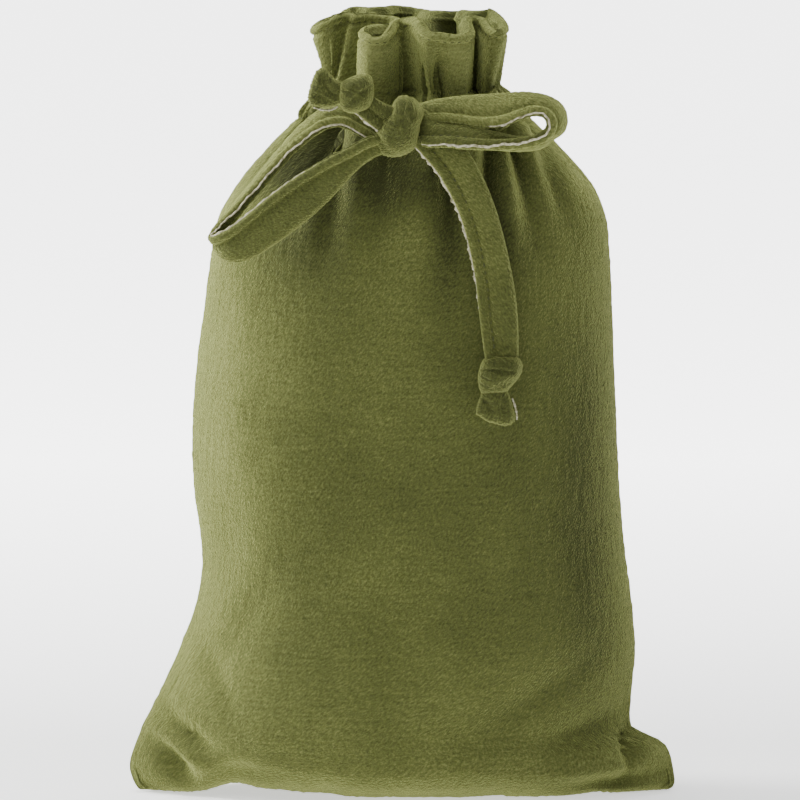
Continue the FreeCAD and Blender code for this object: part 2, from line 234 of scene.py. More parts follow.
# Creases that run down from the neck: x beside the neck and x and height where the crease
# fades, its depth and its half width. Negative depth is a ridge. All on the front.
frontCreases = [
    (13, 19, 194, 6.4, 4.2), (27, 33, 188, 7.0, 4.4), (36, 50, 194, 5.4, 4), (43, 62, 204, 4.2, 3.6),
    (21, 26, 198, -3.2, 5), (31, 42, 203, -2.6, 4), (-17, -30, 192, 5.2, 5),
    (-27, -44, 203, 4.2, 4.4), (-6, -10, 204, 4.6, 5), (3, 4, 200, -2.2, 8),
]
backCreases = [
    (-30, -47, 200, 3, 5), (-12, -20, 188, 3.4, 6), (3, 2, 205, 2.6, 5), (16, 24, 192, 3.6, 6),
    (33, 50, 203, 3, 5),
]

# Soft hollows of the filled cloth: x, height, half length, half width, the length's lean
# in degrees, depth. Negative depth is a swelling.
frontHollows = [
    (-85.5, 12.5, 10, 3.8, -42, 5.6), (-79, 23, 9, 3.4, -24, 4.2), (-80.5, 17, 10, 3, -38, -2.2),
    (-88, 30, 9, 4, -50, 2.0), (-66, 40, 20, 4, -62, 2.0), (-60, 30, 14, 5, -60, -1.2),
    (-62, 7, 11, 6, 0, 2.6), (-68, 92, 24, 9, 78, 2.6), (-60, 66, 18, 7, 60, 1.6),
    (62, 96, 26, 22, 0, 1.4), (48, 40, 26, 6, 32, 2.0), (64, 24, 20, 5, 22, 2.6),
    (84, 19, 8, 2.6, 80, 6.0), (78, 5.6, 16, 2.4, 6, 3.6), (72, 11, 22, 3.2, 8, -2.4),
    (20, 70, 40, 16, 0, 0.9), (-20, 120, 34, 22, 90, 0.9), (38, 150, 30, 20, 90, 0.8),
    (10, 10, 30, 7, 0, -1.2),
]
backHollows = [
    (60, 40, 24, 9, 60, 2.8), (-66, 60, 26, 10, 110, 2.8), (10, 90, 40, 30, 0, 1.2),
    (-25, 150, 36, 26, 90, 1.0), (40, 165, 30, 22, 90, 1.0), (84, 20, 12, 5, 42, 4.0),
    (-82, 14, 12, 5, -30, 3.6), (-40, 20, 26, 6, -20, 1.8), (66, 12, 18, 3.6, -14, 2.4),
]

# Broad painted shade and highlight, with some changes of tone where the pile lies another way: painted
# shadow under the bow, painted shade in the pleats, inside the left loop and down the right side, painted
# highlight down the left side and along the ruffle. Each is x, height, half width, half height, amount.
# All on the front.
sackShadeAndNap = [
    (-2, 230, 26, 11, -0.36), (0, 208, 14, 16, 0.08), (15, 206, 7, 26, -0.30),
    (34, 212, 7, 24, -0.32), (-34, 210, 16, 16, -0.20), (30, 130, 26, 60, -0.10),
    (-38, 233, 15, 8, -0.46), (-19, 240, 9, 8, -0.40), (-86, 14, 14, 12, -0.12),
    (20, 271, 6, 16, 0.16), (-66, 150, 9, 60, 0.24), (-70, 60, 14, 30, 0.16),
    (-30, 150, 22, 26, 0.06), (60, 60, 16, 30, -0.08), (70, 120, 13, 74, -0.50),
    (-12, 100, 60, 90, -0.05), (50, 176, 16, 18, 0.06), (0, 8, 70, 6, 0.10), (74, 16, 16, 4, 0.12),
    (0, 278, 60, 14, 0.22), (-12, 276, 5, 14, 0.24), (-2, 270, 4, 16, -0.30), (15, 268, 3, 8, -0.10),
    (27, 270, 2.4, 18, -0.32), (-24, 276, 4, 12, -0.16),
]

# How the neck's folds fade down the body: height, strength, blur as a share of the round
foldFade = np.array([
    (262, 1, 0), (256, 0.98, 0.001), (250, 0.86, 0.004), (242, 0.6, 0.008), (232, 0.38, 0.012),
    (220, 0.21, 0.017), (205, 0.08, 0.024), (190, 0, 0.03), (0, 0, 0.03),
])
# Where the front's bottom edge lifts off the floor: x, half width, rise
bottomLifts = [(-62, 10, 4.4), (-45, 9, 2.4), (-30, 7, 1.5), (33, 7, 0.6), (70, 6, 0.8)]

sack = {
    "around": 448,
    "bodyRows": 120,
    "neckRows": 22,
    "frillRows": 48,
    "bodyCloth": 1.3,
    "frillCloth": 2.1,
    "casingLow": 250.0,
    "casingHigh": 261.0,
    "pucker": 0.9,
    "channelSwell": 1.6,
    "neckSwell": 0.8,
    "groove": (0.9, 0.35),
    "bottomRise": 2.6,
    "dimpleDepth": 5.5,
    "frillTall": 24,
    "innerShade": -0.15,
    "seamDepth": 1.3,
    "hemDrop": 3.4,
    "hemDepth": 0.9,
    "pile": 0.12,
}


# share of the round, 0 at the left seam, 0.5 at the right, for each fold point, by the
# length of the rim between them
def foldShares():
    folds = np.array(frontFolds + backFolds, float)
    rim = np.vstack([folds[:, :3], folds[:1, :3]])
    length = runLength(rim)
    turn = len(frontFolds)
    front = 0.5 * length[: turn + 1] / length[turn]
    back = 0.5 + 0.5 * (length[turn + 1:] - length[turn]) / (length[-1] - length[turn])
    print("stage: rim length", round(float(length[-1]), 1), "front", round(float(length[turn]), 1))
    return folds, np.concatenate([front, back])


# section of the filled sack: x = middle - half width * cos, y = depth * sin pinched by a
# power, at each share of the round and each level
def sectionPoints(share, levels):
    angle = 2 * np.pi * share[:, None]
    height, left, right, front, back, pinch = [levels[None, :, k] for k in range(6)]
    x = (left + right) / 2 - (right - left) / 2 * np.cos(angle)
    side = np.sin(angle)
    depth = np.where(side > 0, front, back)
    y = -depth * np.sign(side) * np.abs(side) ** pinch
    z = np.broadcast_to(height, x.shape)
    return np.stack([x, y, z], -1)


# outward direction of the section, level with the floor
def outward(points, levels):
    height, left, right, front, back, pinch = [levels[None, :, k] for k in range(6)]
    middle = (left + right) / 2
    half = (right - left) / 2
    depth = np.maximum(np.where(points[..., 1] < 0, front, back), 6)
    aside = (points[..., 0] - middle) / half**2
    return unitVectors(np.stack([aside, points[..., 1] / depth**2, 0 * aside], -1))


# height lost to creases: each a bell beside its path, fading in at the neck and out below
def creaseField(points, creases, onSide):
    z = points[..., 2]
    total = np.zeros(z.shape)
    for neckX, endX, endZ, depth, width in creases:
        down = np.clip((258 - z) / (258 - endZ), 0, 1.3)
        path = neckX + (endX - neckX) * down**0.8
        fade = (1 - smoothStep(down, 0.25, 1.05)) * smoothStep(262 - z, 0, 12)
        total -= depth * fade * bell(points[..., 0], path, width * (0.6 + 0.7 * down))
    return total * onSide


# height lost to hollows: each a bell along its length times a bell across it
def hollowField(points, hollows, onSide):
    total = np.zeros(points.shape[:2])
    for x, z, long, wide, lean, depth in hollows:
        turn = np.radians(lean)
        across = points[..., 0] - x
        up = points[..., 2] - z
        alongIt = across * np.cos(turn) + up * np.sin(turn)
        besideIt = up * np.cos(turn) - across * np.sin(turn)
        total -= depth * bell(alongIt, 0, long) * bell(besideIt, 0, wide)
    return total * onSide


# the whole outside of the cloth, from the bottom seam to the rim, as one closed round grid
def sackSurface():
    count = sack["around"]
    share = np.arange(count) / count
    levels = splineEven(sackLevels, sack["bodyRows"] * 4)
    climb = runLength(levels[:, [0, 3]])
    low = np.interp(247, levels[:, 0], climb)
    wanted = np.concatenate([
        np.linspace(0, low, sack["bodyRows"], endpoint=False),
        np.linspace(low, climb[-1], sack["neckRows"]),
    ])
    levels = np.stack([np.interp(wanted, climb, levels[:, k]) for k in range(6)], -1)
    base = sectionPoints(share, levels)
    away = outward(base, levels)
    z = base[..., 2]

    folds, foldShare = foldShares()
    where = np.interp(share, foldShare, np.arange(len(folds) + 1))
    ring = splineAt(folds, where, closed=True)
    neckLine = ring[:, 3:5]
    shift = neckLine - sectionPoints(share, levels[-1:])[:, 0, :2]

    # the neck's folds spread into the body: blurred more and weaker the lower it is
    heights, strengths, blurs = foldFade[::-1].T
    strength = np.interp(levels[:, 0], heights, strengths)
    spread = np.interp(levels[:, 0], heights, blurs)
    coarse = blurRound(shift, 0.06)
    body = base.copy()
    sunk = np.zeros(z.shape)
    for row in range(len(levels)):
        if strength[row] > 0:
            fold = blurRound(shift, spread[row]) - coarse * (1 - strength[row])
            body[:, row, :2] += strength[row] * fold
            sunk[:, row] = strength[row] * (fold * away[:, row, :2]).sum(-1)

    isFront = smoothStep(-base[..., 1], -2, 6)
    isBack = smoothStep(base[..., 1], -2, 6)
    lift = creaseField(base, frontCreases, isFront) + creaseField(base, backCreases, isBack)
    lift += hollowField(base, frontHollows, isFront) + hollowField(base, backHollows, isBack)

    # the drawstring channel: a swelling between two stitched grooves, puckered all round
    middle = (sack["casingLow"] + sack["casingHigh"]) / 2
    half = (sack["casingHigh"] - sack["casingLow"]) / 2
    angle = 2 * np.pi * share[:, None]
    ripple = np.sin(71 * angle + 2.2 * np.sin(5 * angle))
    ripple = ripple + 0.6 * np.sin(113 * angle + 3 * np.sin(3 * angle))
    channel = np.clip(1 - ((z - middle) / half) ** 2, 0, 1)
    lift += sack["channelSwell"] * channel + sack["pucker"] * ripple * channel
    swell = np.sin(29 * angle + 1.3 * np.sin(4 * angle)) + 0.7 * np.sin(47 * angle + 2)
    lift += sack["neckSwell"] * swell * smoothStep(z, 247, 256)
    deep, wavy = sack["groove"]
    for groove in (sack["casingLow"], sack["casingHigh"]):
        lift -= (deep + wavy * np.sin(97 * angle)) * bell(z, groove, 1.3)
    body += away * lift[..., None]
    body[..., 2] += sack["bottomRise"] * (1 - smoothStep(z, 3, 17)) * smoothStep(-base[..., 1], 16, 34)
    for place, width, rise in bottomLifts:
        near = bell(base[..., 0], place, width) * (1 - smoothStep(z, 2, 22))
        near = near * (1 - smoothStep(base[..., 1], 0, 30))
        body[..., 2] += rise * near

    # above the neck: straight from the neck's line to the rim's, a little bowed outward
    rise = np.linspace(0, 1, sack["frillRows"] + 1)[1:]
    rise = rise + 0.06 * np.sin(np.pi * rise)
    rim = ring[:, None, :3]
    start = body[:, -1:, :]
    frill = start + (rim - start) * rise[None, :, None]
    tall = np.linalg.norm(rim - start, axis=2)
    drop = tall * (1 - rise[None, :])
    flat = np.stack([ring[:, 0] - 3, ring[:, 1], 0 * ring[:, 0]], -1)
    flat = unitVectors(flat)[:, None, :]
    dimple = sack["dimpleDepth"] * bell(frill[..., 0], 13.6, 2.6) * bell(drop, 17, 8)
    dimple = dimple * (frill[..., 1] < -12)
    frill -= flat * dimple[..., None]
    surface = np.concatenate([body, frill], axis=1)
    normal = gridNormals(surface, closedFirst=True)
    if (normal[count // 4, 60, 1]) > 0:
        normal = -normal

    # hem stitched a little below the rim, and the side seams drawn in
    below = np.concatenate([np.full(z.shape, 99.0), drop], axis=1)
    inward = sack["hemDepth"] * bell(below, sack["hemDrop"], 0.9)
    near = np.minimum(np.minimum(share, 1 - share), np.abs(share - 0.5))[:, None] * 400
    inward = inward + sack["seamDepth"] * bell(near, 0, 1.6)
    surface = surface - normal * inward[..., None]
    # painted shade and highlight: the tone is darker in hollows, creases, grooves and the neck's folds
    # and lighter on swellings, and the listed patches of painted shade, painted highlight and pile tone
    # are added on the front
    tone = np.zeros(surface.shape[:2])
    tone[:, : z.shape[1]] = np.clip(lift, -5, 2.4) * 0.05 * smoothStep(z, 4, 40)
    tone[:, : z.shape[1]] += np.clip(sunk, -5, 3) * 0.035
    for x, height, wide, tall, amount in sackShadeAndNap:
        there = bell(surface[..., 0], x, wide) * bell(surface[..., 2], height, tall)
        tone += amount * there * (surface[..., 1] < 0)
    thick = np.full(surface.shape[1], sack["bodyCloth"])
    thick = thick + (sack["frillCloth"] - sack["bodyCloth"]) * smoothStep(np.arange(len(thick)), 118, 140)
    thick = np.broadcast_to(thick, surface.shape[:2]).copy()
    curl = np.clip(below / 2.2, 0, 1)
    edge = thick * np.sqrt(np.clip(1 - (1 - curl) ** 2, 0, 1))
    length = runLength(surface[count // 4])
    return share, surface, normal, thick, edge, length, tone


# one cloth of the sack as a closed shell: outside, inside and the four edges between
def clothPanel(name, picks, share, surface, normal, thick, edge, length, tone):
    centre = surface[picks] - normal[picks] * thick[picks][..., None]
    outer = centre + normal[picks] * edge[picks][..., None]
    inner = centre - normal[picks] * edge[picks][..., None]
    outer[..., 2] = np.maximum(outer[..., 2], 0.35)
    inner[..., 2] = np.maximum(inner[..., 2], 0.8)
    outer += normal[picks] * chance.normal(0, sack["pile"], outer.shape[:2])[..., None]
    outer[..., 2] = np.maximum(outer[..., 2], 0.3)
    first, second = outer.shape[:2]
    size = first * second
    vertices = np.concatenate([outer.reshape(-1, 3), inner.reshape(-1, 3)])
    index = np.arange(size).reshape(first, second)
    faces = [gridQuads(first, second), gridQuads(first, second, start=size)[:, ::-1]]
    for line in (index[0], index[-1], index[:, 0], index[:, -1]):
        a, b = line[:-1], line[1:]
        faces.append(np.stack([a, b, b + size, a + size], -1))
    u = np.broadcast_to((share[picks] * 0.4)[:, None], (first, second)).reshape(-1)
    v = np.broadcast_to((length * unit)[None, :], (first, second)).reshape(-1)
    uv = np.tile(np.stack([u, v], -1), (2, 1))
    item = makeObject(name, vertices, np.concatenate(faces).tolist(), uv)
    # painted shade: the inside of the cloth is painted darker
    paint(item, np.concatenate([tone[picks].reshape(-1), tone[picks].reshape(-1) + sack["innerShade"]]))
    return item


# a shader socket with arithmetic: numbers and sockets mix, each sign adds a Math node
class Wire:
    def __init__(self, tree, socket):
        self.tree = tree
        self.socket = socket

    def node(self, kind, output=0, inputs=None, **settings):
        item = self.tree.nodes.new(kind)
        for key, value in settings.items():
            if key == "stops":
                ramp = item.color_ramp
                while len(ramp.elements) < len(value):
                    ramp.elements.new(0.5)
                for element, (place, colour) in zip(ramp.elements, value):
                    element.position = place
                    element.color = colour
            else:
                setattr(item, key, value)
        for key, value in (inputs or {}).items():
            if isinstance(value, Wire):
                self.tree.links.new(value.socket, item.inputs[key])
            else:
                item.inputs[key].default_value = value
        return Wire(self.tree, item.outputs[output])

    def math(self, operation, other, swap=False):
        pair = {0: other, 1: self} if swap else {0: self, 1: other}
        return self.node("ShaderNodeMath", inputs=pair, operation=operation)

    def __add__(self, other):
        return self.math("ADD", other)

    def __sub__(self, other):
        return self.math("SUBTRACT", other)

    def __mul__(self, other):
        return self.math("MULTIPLY", other)

    def __rsub__(self, other):
        return self.math("SUBTRACT", other, True)

    __radd__ = __add__
    __rmul__ = __mul__


def newMaterial(name, roughness, sheen=None):
    material = bpy.data.materials.new(name)
    material.use_nodes = True
    tree = material.node_tree
    shader = next(node for node in tree.nodes if node.type == "BSDF_PRINCIPLED")
    shader.inputs["Roughness"].default_value = roughness
    shader.inputs["Specular IOR Level"].default_value = 0.18
    if sheen:
        shader.inputs["Sheen Weight"].default_value = sheen[0]
        shader.inputs["Sheen Roughness"].default_value = sheen[1]
        shader.inputs["Sheen Tint"].default_value = sheen[2]
    return material, tree, shader


plushLook = {
    "deep": (0.030, 0.034, 0.008, 1),
    "middle": (0.089, 0.101, 0.025, 1),
    "bright": (0.220, 0.240, 0.076, 1),
    "sheen": (1.0, 0.36, (0.65, 0.71, 0.23, 1)),
    "napLean": 1.05,
}


# plush: broad brushed patches, slanting strokes of pile, faint level rows of the knitted
# ground and the grain of single tufts, in colour and in height
def plushMaterial(name, patches=1.0):
    material, tree, shader = newMaterial(name, 0.9, plushLook["sheen"])
    maker = Wire(tree, None)
    place = maker.node("ShaderNodeTexCoord", output="Object")
    cloth = maker.node("ShaderNodeTexCoord", output="UV")
    painted = maker.node("ShaderNodeAttribute", output="Fac", attribute_name="tone")

    def noise(vector, scale, detail, rough, stretch=(1, 1, 1), lean=0.0):
        mapped = maker.node(
            "ShaderNodeMapping",
            inputs={"Vector": vector, "Scale": stretch, "Rotation": (0, 0, lean)},
            vector_type="TEXTURE",
        )
        return maker.node(
            "ShaderNodeTexNoise",
            inputs={"Vector": mapped, "Scale": scale, "Detail": detail, "Roughness": rough},
        )

    broad = noise(place, 30, 3, 0.6, (1, 1, 1.3))
    strokes = noise(cloth, 1550, 2, 0.6, (2.0, 1, 1), plushLook["napLean"])
    crossing = noise(cloth, 1000, 2, 0.6, (1.8, 1, 1), plushLook["napLean"] - 0.6)
    rows = noise(cloth, 700, 2, 0.5, (9, 1, 1))
    rowsHere = noise(place, 42, 1, 0.5)
    tufts = noise(place, 2100, 2, 0.7)
    pile = (strokes - 0.5) * 0.95 + (crossing - 0.5) * 0.45 + (tufts - 0.5) * 0.5
    # the painted attribute adds painted shade and highlight to the pile's colour
    tone = pile + (broad - 0.5) * (0.42 * patches) + (rows - 0.5) * rowsHere * 0.5 + painted + 0.5
    colour = maker.node(
        "ShaderNodeValToRGB",
        inputs={0: tone},
        stops=[(0.05, plushLook["deep"]), (0.5, plushLook["middle"]), (0.98, plushLook["bright"])],
    )
    tree.links.new(colour.socket, shader.inputs["Base Color"])
    height = strokes * 0.8 + crossing * 0.4 + tufts * 0.5
    bump = maker.node(
        "ShaderNodeBump", inputs={"Height": height, "Strength": 0.9, "Distance": 0.0010}
    )
    tree.links.new(bump.socket, shader.inputs["Normal"])
    return material


plush = plushMaterial("olive plush")
knotPlush = plushMaterial("olive plush knot", 0.6)


# cut edge of the cloth's backing: pale knitted loops with darker gaps
def backingMaterial():
    material, tree, shader = newMaterial("cream backing", 0.9)
    maker = Wire(tree, None)
    place = maker.node("ShaderNodeTexCoord", output="Object")
    fray = maker.node(
        "ShaderNodeTexNoise", inputs={"Vector": place, "Scale": 900, "Detail": 2, "Roughness": 0.6}
    )
    colour = maker.node(
        "ShaderNodeValToRGB",
        inputs={0: fray},
        stops=[(0.3, (0.21, 0.20, 0.10, 1)), (0.5, (0.48, 0.45, 0.31, 1)), (0.7, (0.68, 0.64, 0.49, 1))],
    )
    tree.links.new(colour.socket, shader.inputs["Base Color"])
    bump = maker.node("ShaderNodeBump", inputs={"Height": fray, "Strength": 0.8, "Distance": 0.0004})
    tree.links.new(bump.socket, shader.inputs["Normal"])
    return material


# sewing thread: dark olive, its plies as fine slanting bands
def threadMaterial():
    material, tree, shader = newMaterial("olive thread", 0.6, (0.2, 0.5, (0.7, 0.75, 0.5, 1)))
    maker = Wire(tree, None)
    place = maker.node("ShaderNodeTexCoord", output="Object")
    plies = maker.node(
        "ShaderNodeTexNoise", inputs={"Vector": place, "Scale": 2600, "Detail": 1, "Roughness": 0.5}
    )
    colour = maker.node(
        "ShaderNodeValToRGB",
        inputs={0: plies},
        stops=[(0.3, (0.030, 0.034, 0.009, 1)), (0.7, (0.080, 0.088, 0.026, 1))],
    )
    tree.links.new(colour.socket, shader.inputs["Base Color"])
    bump = maker.node("ShaderNodeBump", inputs={"Height": plies, "Strength": 0.6, "Distance": 0.0002})
    tree.links.new(bump.socket, shader.inputs["Normal"])
    return material


backing = backingMaterial()
thread = threadMaterial()
print("stage: materials made")


stitch = {
    "length": 2.3,
    "gap": 1.1,
    "radius": 0.24,
    "rings": 6,
    "sides": 6,
}


# a row of stitches along a path: each is a small arched capsule, its ends sunk in the cloth
def stitchRow(name, points, normals, length=None, gap=None, radius=None):
    length = length or stitch["length"]
    gap = gap or stitch["gap"]
    radius = radius or stitch["radius"]
    points = np.asarray(points, float)
    where = runLength(points)
    total = max(int(where[-1] // (length + gap)), 1)
    starts = (np.arange(total) + 0.15) * (length + gap)
    along = np.linspace(0, 1, stitch["rings"])
    place = starts[:, None] + along[None, :] * length

    def read(values):
        return np.stack([np.interp(place, where, values[:, k]) for k in range(3)], -1)

    centre = read(points)
    up = unitVectors(read(np.asarray(normals, float)))
    front = unitVectors(np.gradient(centre, axis=1))
    side = np.cross(front, up)
    swell = np.sqrt(np.clip(1 - (2 * along - 1) ** 4, 0.02, 1)) * radius
    arch = (np.sin(np.pi * along) - 0.55) * radius * 1.4
    centre = centre + up * arch[None, :, None]
    angle = np.linspace(0, 2 * np.pi, stitch["sides"], endpoint=False)
    ring = np.cos(angle)[:, None] * side[:, :, None, :] + np.sin(angle)[:, None] * up[:, :, None, :]
    vertices = centre[:, :, None, :] + ring * swell[None, :, None, None]
    faces = []
    rings, sides = stitch["rings"], stitch["sides"]
    for index in range(total):
        faces += tubeFaces(rings, sides, index * rings * sides)
    return makeObject(name, vertices.reshape(-1, 3), faces)


share, surface, normal, thick, edge, length, tone = sackSurface()
count = sack["around"]
frontPicks = np.arange(0, count // 2 + 1)
backPicks = np.concatenate([np.arange(count // 2, count), [0]])
frontCloth = clothPanel("front_cloth", frontPicks, share, surface, normal, thick, edge, length, tone)
backCloth = clothPanel("back_cloth", backPicks, share, surface, normal, thick, edge, length, tone)
dress(frontCloth, plush, "sack", ("front_panel", "front_ruffle"))
dress(backCloth, plush, "sack", ("back_panel", "back_ruffle"))
print("stage: sack cloth made")

bodyRows = sack["bodyRows"] + sack["neckRows"]
heights = surface[..., 2]


# the line where the outside of the cloth stands at one height, right round the sack
def roundAt(height):
    row = int(np.argmin(np.abs(heights[0, :bodyRows] - height)))
    picks = np.concatenate([np.arange(count), [0]])
    return surface[picks, row] - normal[picks, row] * 0.25, normal[picks, row]


for name, height in (("casing_thread", sack["casingLow"]), ("neck_thread", sack["casingHigh"])):
    points, normals = roundAt(height)
    dress(stitchRow(name + "_row", points, normals), thread, "sack", (name,))

picks = np.concatenate([np.arange(count), [0]])
hemRow = surface.shape[1] - 1 - int(round(sack["hemDrop"] / sack["frillTall"] * sack["frillRows"]))
hemLine = surface[picks, hemRow] - normal[picks, hemRow] * 0.06
rimRow = stitchRow("rim_hem_row", hemLine, normal[picks, hemRow], 1.9, 0.9, 0.18)
dress(rimRow, thread, "sack", ("rim_hem_thread",))
for name, column in (("left_side_seam_thread", 0), ("right_side_seam_thread", count // 2)):
    seam = surface[column, 6:] - normal[column, 6:] * 0.3
    dress(stitchRow(name + "_row", seam, normal[column, 6:]), thread, "sack", (name,))
bottomLine = surface[frontPicks[4:-4], 0] + np.array([0, 0, 0.5])
bottomNormal = np.tile(np.array([0, 0, -1.0]), (len(bottomLine), 1))
bottomRow = stitchRow("bottom_seam_row", bottomLine, bottomNormal)
dress(bottomRow, thread, "sack", ("bottom_seam_thread",))
print("stage: seams stitched")


ribbon = {
    "cutWidth": 0.028,
    "face": 26,
    "rawHalf": 2.0,
    "foldHalf": 2.7,
    "stitchAt": 4.0,
    "stitchDepth": 1.2,
    "pile": 0.1,
}


# half thickness of the folded strip at a distance w from its raw edges, for a given width:
# blunt at the raw edges, drawn in at the stitching, fuller and round at the fold
def ribbonHalf(w, wide, puff):
    raw = np.sqrt(np.clip(1 - (1 - np.clip(w / 1.5, 0, 1)) ** 2, 0, 1))
    fold = np.sqrt(np.clip(1 - (1 - np.clip((wide - w) / 3.4, 0, 1)) ** 2, 0, 1))
    body = ribbon["rawHalf"] + (ribbon["foldHalf"] - ribbon["rawHalf"]) * smoothStep(w, 4, 9)
    body = body * (1 + (puff - 1) * smoothStep(w, 1, 6))
    body = body - ribbon["stitchDepth"] * bell(w, ribbon["stitchAt"], 0.9)
    return (0.3 + (body - 0.3) * raw) * fold


# a strip between its raw edge line and its fold line: the profile is carried along both
def ribbonFrame(rawLine, foldLine, puffs, count):
    both = np.concatenate([np.asarray(rawLine, float), np.asarray(foldLine, float)], axis=1)
    middle = (both[:, :3] + both[:, 3:]) / 2
    total = len(both) - 1
    dense = splineAt(middle, np.linspace(0, total, 50 * total + 1))
    run = runLength(dense)
    where = np.interp(np.linspace(0, run[-1], count), run, np.linspace(0, total, len(dense)))
    line = splineAt(both, where)
    raw, fold = line[:, :3], line[:, 3:]
    across = fold - raw
    wide = np.linalg.norm(across, axis=1)
    across = across / wide[:, None]
    tangent = unitVectors(np.gradient((raw + fold) / 2, axis=0))
    face = unitVectors(np.cross(tangent, across))
    puff = np.interp(np.linspace(0, 1, count), np.linspace(0, 1, len(puffs)), puffs)
    return raw, across, face, tangent, wide, puff, np.linspace(0, run[-1], count)


def makeRibbon(name, rawLine, foldLine, puffs, count, wrinkles=(), lightAndShade=(0, 0), inner=0.0):
    raw, across, face, tangent, wide, puff, run = ribbonFrame(rawLine, foldLine, puffs, count)
    half = ribbon["face"]
    t = (1 - np.cos(np.linspace(0, np.pi, half))) / 2
    widths = wide[:, None]
    w = t[None, :] * widths
    tall = ribbonHalf(w, widths, puff[:, None])
    ripple = 0.10 * np.sin(run[:, None] * 1.9) * bell(w, ribbon["stitchAt"], 2.0)
    upper = tall + ripple
    lower = -tall + 0.8 * ripple
    for place, reach, depth, side in wrinkles:
        dent = depth * bell(run[:, None], place * run[-1], reach) * smoothStep(w, 2, 6)
        if side > 0:
            upper = upper - dent
        else:
            lower = lower + dent
    grain = chance.normal(0, ribbon["pile"], (count, 2 * half - 1))
    outerH = np.concatenate([upper, lower[:, ::-1][:, 1:]], axis=1)
    outerH = outerH + grain * np.sign(outerH)
    depths = np.linspace(0, 1, 7)[None, :] * (widths - 2.4)
    insideW = np.concatenate([depths + 0.1, depths[:, ::-1] + 0.1], axis=1)
    insideH = np.concatenate([np.full(depths.shape, -0.14), np.full(depths.shape, 0.14)], axis=1)
    ws = np.concatenate([w, w[:, ::-1][:, 1:], insideW], axis=1)
    hs = np.concatenate([outerH, insideH], axis=1)
    vertices = raw[:, None] + across[:, None] * ws[..., None] + face[:, None] * hs[..., None]
    columns = ws.shape[1]
    u = np.broadcast_to((run * unit)[:, None], ws.shape).reshape(-1)
    v = (ws * unit).reshape(-1)
    item = makeObject(name, vertices.reshape(-1, 3), tubeFaces(count, columns), np.stack([v, u], -1))
    # painted light and shade along the strip, from start to end
    shade = np.interp(run / run[-1], np.linspace(0, 1, len(lightAndShade)), lightAndShade)
    # painted shade: the inner face of each loop is painted darker by the amount given
    paint(item, (shade[:, None] + inner * (np.arange(columns) < half)).reshape(-1))
    return item, run[-1]


# the backing's cut edge between the two leaves: a thin strip with a frayed, wavy outer side
def makeRawEdge(name, rawLine, foldLine, count, low=0.0, high=1.0, showing=(1, 1)):
    raw, across, face, tangent, wide, puff, run = ribbonFrame(rawLine, foldLine, (1, 1), count)
    keep = slice(int(low * count), int(high * count))
    raw, across, face, run = raw[keep], across[keep], face[keep], run[keep]
    rows = len(raw)
    proud = np.interp(np.linspace(0, 1, rows), np.linspace(0, 1, len(showing)), showing)
    frayed = 0.55 + 0.28 * np.sin(run * 1.3 + 2 * np.sin(run * 0.31)) + chance.normal(0, 0.16, rows)
    sway = 0.35 * np.sin(run * 0.55) + 0.2 * np.sin(run * 1.7 + 1)
    profile = np.array([
        (1, 0.30), (0.55, 0.42), (0, 0.34), (-0.7, 0.26), (-1, 0),
        (-0.7, -0.26), (0, -0.34), (0.55, -0.42), (1, -0.30),
    ])
    frayed = frayed * proud - 0.9 * (1 - proud)
    hidden = profile[:, 0] * 1.4 + 1.2 * (1 - proud[:, None])
    w = np.where(profile[:, 0] < 0, profile[:, 0] * frayed[:, None], hidden)
    h = profile[:, 1][None, :] * (0.35 + 0.65 * proud[:, None]) + sway[:, None] * 0.6 * proud[:, None]
    vertices = raw[:, None] + across[:, None] * w[..., None] + face[:, None] * h[..., None]
    columns = len(profile)
    return makeObject(name, vertices.reshape(-1, 3), tubeFaces(rows, columns))


# stitches on the strip's showing face, a fixed distance in from its raw edges
def ribbonStitches(name, rawLine, foldLine, puffs, count, low=0.0, high=1.0):
    raw, across, face, tangent, wide, puff, run = ribbonFrame(rawLine, foldLine, puffs, count)
    at = ribbon["stitchAt"]
    tall = ribbonHalf(np.full(count, at), wide, puff)
    points = raw + across * at + face * (tall - 0.05)[:, None]
    keep = slice(int(low * count), int(high * count))
    return stitchRow(name, points[keep], face[keep], 2.0, 1.0, 0.28)


leftLoopRaw = [
    (-3, -45, 243.5), (-9, -47.4, 244.6), (-14.5, -47.6, 247.6), (-20.6, -47.2, 251),
    (-26, -47, 251.6), (-32, -46.8, 249.2), (-41.5, -46.2, 241.6), (-52, -45.6, 230),
    (-61, -45.4, 220), (-67.6, -46.6, 213.8), (-69.6, -49.6, 211.4), (-66, -52.2, 213),
    (-60, -53.4, 217), (-50, -54.4, 225.4), (-40.4, -54.8, 232.6), (-30, -54.8, 239),
    (-20, -54, 244), (-12.4, -52, 247.6), (-4, -48, 249),
]
leftLoopFold = [
    (-3, -38.5, 250), (-8.6, -38.4, 251), (-13.6, -37.4, 253.6), (-19.8, -36.4, 256.4),
    (-25.6, -35.6, 257), (-30.4, -35.2, 254.8), (-38.6, -34.4, 247), (-48.6, -33.8, 235),
    (-57.6, -33.8, 223.6), (-64, -36.2, 213.4), (-66.6, -42.6, 205.4), (-63.4, -47.4, 202),
    (-57.6, -49.4, 202.2), (-47.4, -50.2, 208), (-35, -50.8, 217.4), (-26, -50.8, 225.8),
    (-18, -50, 234.8), (-10.6, -48.4, 240.2), (-2, -45, 242),
]
